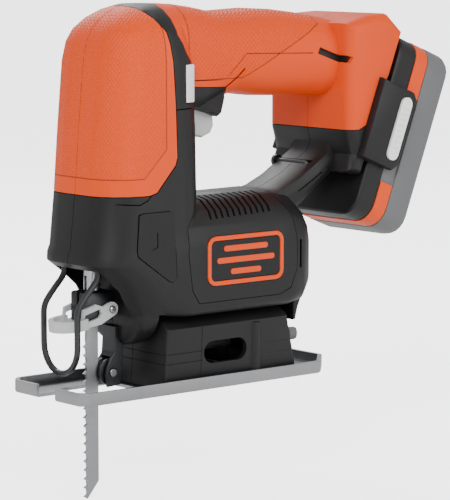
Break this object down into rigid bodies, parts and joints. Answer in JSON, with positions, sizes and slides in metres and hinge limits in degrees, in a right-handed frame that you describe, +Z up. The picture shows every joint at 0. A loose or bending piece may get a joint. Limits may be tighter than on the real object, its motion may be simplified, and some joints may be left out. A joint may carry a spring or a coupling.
{
  "type": "cordless jigsaw",
  "caption": "Battery jigsaw with top handle, bevelling shoe, crank-driven blade, keyless blade clamp and slide-off battery pack.",
  "frame": {"origin": "on the sole of the shoe, on the bevel axis", "axes": "+X is the cutting direction, +Y the tool's left, +Z up from the sole"},
  "size_m": [0.2221, 0.0682, 0.2209],
  "materials": {
    "black_abs": "matte",
    "orange_abs": "satin",
    "orange_tpe": "matte",
    "grey_abs": "matte",
    "pale_abs": "matte",
    "white_abs": "matte",
    "steel": "plain",
    "bright_steel": "ground",
    "dark_steel": "black oxide",
    "bronze": "sintered",
    "copper": "enamelled copper wire",
    "cell_wrap": "film"
  },
  "bodies": {
    "shoe": {"shoe_plate": "bright_steel", "base_left": "black_abs", "base_right": "black_abs", "shoe_screw_1": "steel", "shoe_screw_2": "steel", "shoe_screw_3": "steel", "shoe_screw_4": "steel"},
    "bevel_lever": {"bevel_lever": "grey_abs"},
    "bevel_brake": {"bevel_brake": "bronze"},
    "tool": {"housing_left": "black_abs", "housing_right": "black_abs", "column_cover_left": "orange_abs", "column_cover_right": "orange_abs", "grip_cover_left": "orange_tpe", "grip_cover_right": "orange_tpe", "motor_cover_left": "black_abs", "motor_cover_right": "black_abs", "housing_screw_1": "dark_steel", "housing_screw_2": "dark_steel", "housing_screw_3": "dark_steel", "housing_screw_4": "dark_steel", "housing_screw_5": "dark_steel", "side_pad_left": "black_abs", "side_pad_right": "black_abs", "badge_frame_left": "orange_abs", "badge_frame_right": "orange_abs", "motor_can": "steel", "motor_bell_front": "steel", "motor_bell_rear": "black_abs", "gear_frame": "steel", "gear_axle": "bright_steel", "plunger_bush_lower": "bronze", "plunger_bush_upper": "bronze", "roller_bracket": "dark_steel", "roller_pin": "steel", "guard_wire": "dark_steel", "switch_module": "black_abs"},
    "armature": {"motor_armature": "copper", "motor_fan": "black_abs", "motor_pinion": "bronze"},
    "crank": {"crank_gear": "steel", "crank_pin": "bright_steel", "crank_roller": "bright_steel"},
    "plunger": {"plunger_rod": "bright_steel", "blade_clamp": "dark_steel", "lever_pin": "bright_steel", "saw_blade": "bright_steel"},
    "release_lever": {"release_lever": "pale_abs"},
    "support_roller": {"support_roller": "dark_steel"},
    "trigger": {"trigger": "pale_abs"},
    "lock_off": {"lock_off_button": "white_abs"},
    "release_left": {"release_button_left": "white_abs"},
    "release_right": {"release_button_right": "white_abs"},
    "battery": {"battery_shell": "grey_abs", "battery_collar": "black_abs", "battery_trim_top": "orange_abs", "battery_trim_bottom": "orange_abs", "battery_cell_1": "cell_wrap", "battery_cell_2": "cell_wrap", "battery_cell_3": "cell_wrap"}
  },
  "joints": [
    {"name": "bevel", "type": "hinge", "parent": "shoe", "child": "tool", "pos_m": [0, 0, 0], "axis": [1, 0, 0], "range_deg": [-45, 45]},
    {"name": "bevel_lever_turn", "type": "hinge", "parent": "shoe", "child": "bevel_lever", "pos_m": [0, 0, 0.0155], "axis": [1, 0, 0], "range_deg": [-40, 0]},
    {"name": "bevel_brake_slide", "type": "slide", "parent": "shoe", "child": "bevel_brake", "axis": [0, 0, 1], "range_m": [-0.0002, 0]},
    {"name": "motor_spin", "type": "hinge", "parent": "tool", "child": "armature", "pos_m": [0, 0, 0.0582], "axis": [1, 0, 0], "range_deg": [-540, 540]},
    {"name": "crank_turn", "type": "hinge", "parent": "tool", "child": "crank", "pos_m": [0, 0, 0.0834], "axis": [1, 0, 0], "range_deg": [-90, 90]},
    {"name": "stroke", "type": "slide", "parent": "tool", "child": "plunger", "axis": [0, 0, 1], "range_m": [-0.0095, 0.0095]},
    {"name": "release_lever_lift", "type": "hinge", "parent": "plunger", "child": "release_lever", "pos_m": [0.0374, 0, 0.0383], "axis": [0, -1, 0], "range_deg": [0, 32]},
    {"name": "roller_spin", "type": "hinge", "parent": "tool", "child": "support_roller", "pos_m": [0.0346, 0, 0.009], "axis": [0, 1, 0], "continuous": true},
    {"name": "trigger_squeeze", "type": "slide", "parent": "tool", "child": "trigger", "axis": [1, 0, 0], "range_m": [0, 0.005], "stiffness_N_per_m": 800, "springref_m": -0.004},
    {"name": "lock_off_slide", "type": "slide", "parent": "tool", "child": "lock_off", "axis": [0, -1, 0], "range_m": [0, 0.003], "stiffness_N_per_m": 600, "springref_m": -0.003},
    {"name": "release_left_press", "type": "slide", "parent": "tool", "child": "release_left", "axis": [0, -1, 0], "range_m": [0, 0.0025], "stiffness_N_per_m": 800, "springref_m": -0.003},
    {"name": "release_right_press", "type": "slide", "parent": "tool", "child": "release_right", "axis": [0, 1, 0], "range_m": [0, 0.0025], "stiffness_N_per_m": 800, "springref_m": -0.003},
    {"name": "battery_slide", "type": "slide", "parent": "tool", "child": "battery", "axis": [-0.9304, 0, -0.3665], "range_m": [0, 0.06]}
  ],
  "couplings": [
    {"joint": "crank_turn", "follows": "stroke", "rad_per_m": 165.35},
    {"joint": "motor_spin", "follows": "stroke", "rad_per_m": -992.08},
    {"joint": "bevel_lever_turn", "follows": "bevel_brake_slide", "rad_per_m": 3490.6}
  ]
}
